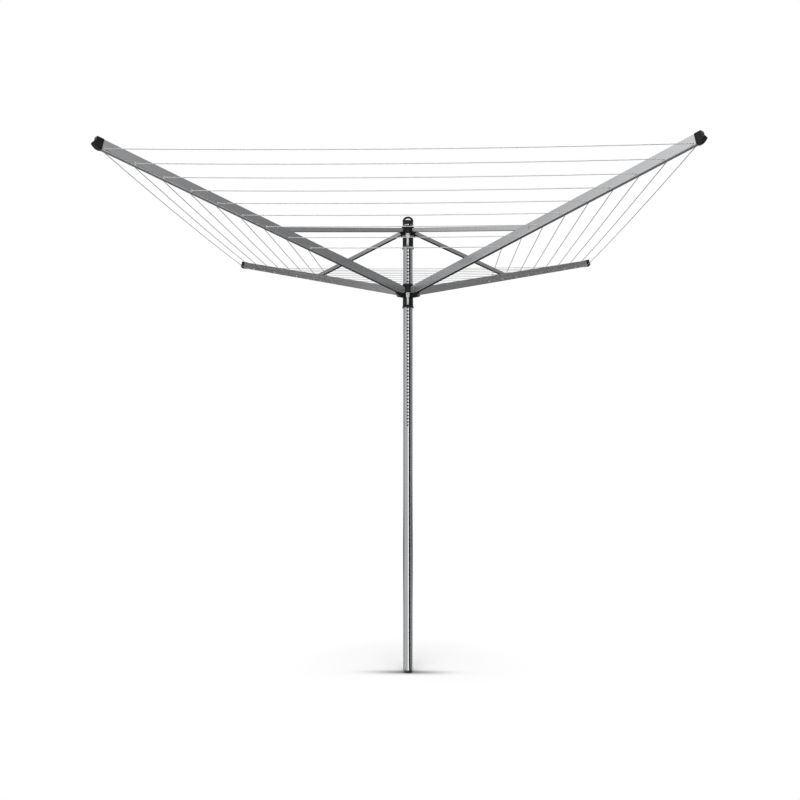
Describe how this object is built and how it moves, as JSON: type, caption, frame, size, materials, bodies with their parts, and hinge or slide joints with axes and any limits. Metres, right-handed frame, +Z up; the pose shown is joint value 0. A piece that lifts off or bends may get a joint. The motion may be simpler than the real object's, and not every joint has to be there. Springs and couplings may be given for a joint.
{
  "type": "rotary clothesline",
  "caption": "Rotary clothes dryer: folding arms with a threaded washing line, braced by struts from a crown, on a bare perforated mast with latched sliding hubs.",
  "frame": {"origin": "centre of the lower face of the foot plug, at the bottom end of the mast", "axes": "+Z up along the mast; -Y towards the side with the row of holes and the latches; the arms lie on the XY diagonals"},
  "size_m": [2.0618, 2.0618, 2.1119],
  "materials": {
    "mast_aluminium": "brushed anodised tube",
    "arm_aluminium": "satin anodised channel",
    "black_plastic": "fine moulded texture",
    "grey_plastic": "smooth moulded",
    "latch_plastic": "smooth moulded",
    "steel": "zinc plated",
    "line_plastic": "plastic coated line"
  },
  "bodies": {
    "foot": {"foot_plug": "black_plastic"},
    "mast": {"mast_tube": "mast_aluminium", "mast_top_cap": "black_plastic", "foot_rivet": "steel"},
    "crown": {"crown_hub": "black_plastic", "crown_upper_ring": "grey_plastic", "crown_sleeve": "black_plastic", "crown_lower_ring": "grey_plastic", "crown_latch_pin": "steel", "crown_latch_spring": "steel"},
    "crown_lever": {"crown_latch": "latch_plastic"},
    "carriage": {"carriage_hub": "black_plastic", "carriage_sleeve": "black_plastic", "carriage_lower_ring": "black_plastic", "carriage_latch_pin": "steel", "carriage_latch_spring": "steel", "arm_pin_front_right": "steel", "arm_pin_back_right": "steel", "arm_pin_back_left": "steel", "arm_pin_front_left": "steel", "washing_line": "line_plastic"},
    "carriage_lever": {"carriage_latch": "latch_plastic"},
    "arm_front_right": {"arm_front_right": "arm_aluminium", "end_cap_front_right": "black_plastic", "strut_rivet_front_right": "steel", "line_knot_outer": "line_plastic", "line_knot_inner": "line_plastic"},
    "arm_back_right": {"arm_back_right": "arm_aluminium", "end_cap_back_right": "black_plastic", "strut_rivet_back_right": "steel"},
    "arm_back_left": {"arm_back_left": "arm_aluminium", "end_cap_back_left": "black_plastic", "strut_rivet_back_left": "steel"},
    "arm_front_left": {"arm_front_left": "arm_aluminium", "end_cap_front_left": "black_plastic", "strut_rivet_front_left": "steel"},
    "strut_front_right": {"strut_front_right": "arm_aluminium", "strut_pin_front_right": "steel"},
    "strut_back_right": {"strut_back_right": "arm_aluminium", "strut_pin_back_right": "steel"},
    "strut_back_left": {"strut_back_left": "arm_aluminium", "strut_pin_back_left": "steel"},
    "strut_front_left": {"strut_front_left": "arm_aluminium", "strut_pin_front_left": "steel"}
  },
  "joints": [
    {"name": "mast_spin", "type": "hinge", "parent": "foot", "child": "mast", "pos_m": [0, 0, 0], "axis": [0, 0, 1], "continuous": true},
    {"name": "height_adjust", "type": "slide", "parent": "mast", "child": "crown", "axis": [0, 0, 1], "range_m": [-0.555, 0]},
    {"name": "fold", "type": "slide", "parent": "crown", "child": "carriage", "axis": [0, 0, -1], "range_m": [0, 1.09491], "deforming": ["washing_line"]},
    {"name": "crown_latch_turn", "type": "hinge", "parent": "crown", "child": "crown_lever", "pos_m": [0, -0.0292, 2.0175], "axis": [-1, 0, 0], "range_deg": [0, 12], "stiffness_Nm_per_rad": 0.1},
    {"name": "carriage_latch_turn", "type": "hinge", "parent": "carriage", "child": "carriage_lever", "pos_m": [0, -0.0273, 1.7455], "axis": [-1, 0, 0], "range_deg": [0, 12], "stiffness_Nm_per_rad": 0.1},
    {"name": "arm_hinge_front_right", "type": "hinge", "parent": "carriage", "child": "arm_front_right", "pos_m": [0.03182, -0.03182, 1.761], "axis": [-0.7071, -0.7071, 0], "range_deg": [0, 74.65]},
    {"name": "arm_hinge_back_right", "type": "hinge", "parent": "carriage", "child": "arm_back_right", "pos_m": [0.03182, 0.03182, 1.761], "axis": [0.7071, -0.7071, 0], "range_deg": [0, 74.65]},
    {"name": "arm_hinge_back_left", "type": "hinge", "parent": "carriage", "child": "arm_back_left", "pos_m": [-0.03182, 0.03182, 1.761], "axis": [0.7071, 0.7071, 0], "range_deg": [0, 74.65]},
    {"name": "arm_hinge_front_left", "type": "hinge", "parent": "carriage", "child": "arm_front_left", "pos_m": [-0.03182, -0.03182, 1.761], "axis": [-0.7071, 0.7071, 0], "range_deg": [0, 74.65]},
    {"name": "strut_hinge_front_right", "type": "hinge", "parent": "arm_front_right", "child": "strut_front_right", "pos_m": [0.50575, -0.50575, 1.92067], "axis": [0.7071, 0.7071, 0], "range_deg": [0, 153.03]},
    {"name": "strut_hinge_back_right", "type": "hinge", "parent": "arm_back_right", "child": "strut_back_right", "pos_m": [0.50575, 0.50575, 1.92067], "axis": [-0.7071, 0.7071, 0], "range_deg": [0, 153.03]},
    {"name": "strut_hinge_back_left", "type": "hinge", "parent": "arm_back_left", "child": "strut_back_left", "pos_m": [-0.50575, 0.50575, 1.92067], "axis": [-0.7071, -0.7071, 0], "range_deg": [0, 153.03]},
    {"name": "strut_hinge_front_left", "type": "hinge", "parent": "arm_front_left", "child": "strut_front_left", "pos_m": [-0.50575, -0.50575, 1.92067], "axis": [0.7071, -0.7071, 0], "range_deg": [0, 153.03]}
  ],
  "couplings": [
    {"joint": "arm_hinge_front_right", "follows": "fold", "rad_per_m": 1.1892},
    {"joint": "arm_hinge_back_right", "follows": "fold", "rad_per_m": 1.1892},
    {"joint": "arm_hinge_back_left", "follows": "fold", "rad_per_m": 1.1892},
    {"joint": "arm_hinge_front_left", "follows": "fold", "rad_per_m": 1.1892},
    {"joint": "strut_hinge_front_right", "follows": "fold", "rad_per_m": 2.4385},
    {"joint": "strut_hinge_back_right", "follows": "fold", "rad_per_m": 2.4385},
    {"joint": "strut_hinge_back_left", "follows": "fold", "rad_per_m": 2.4385},
    {"joint": "strut_hinge_front_left", "follows": "fold", "rad_per_m": 2.4385}
  ]
}
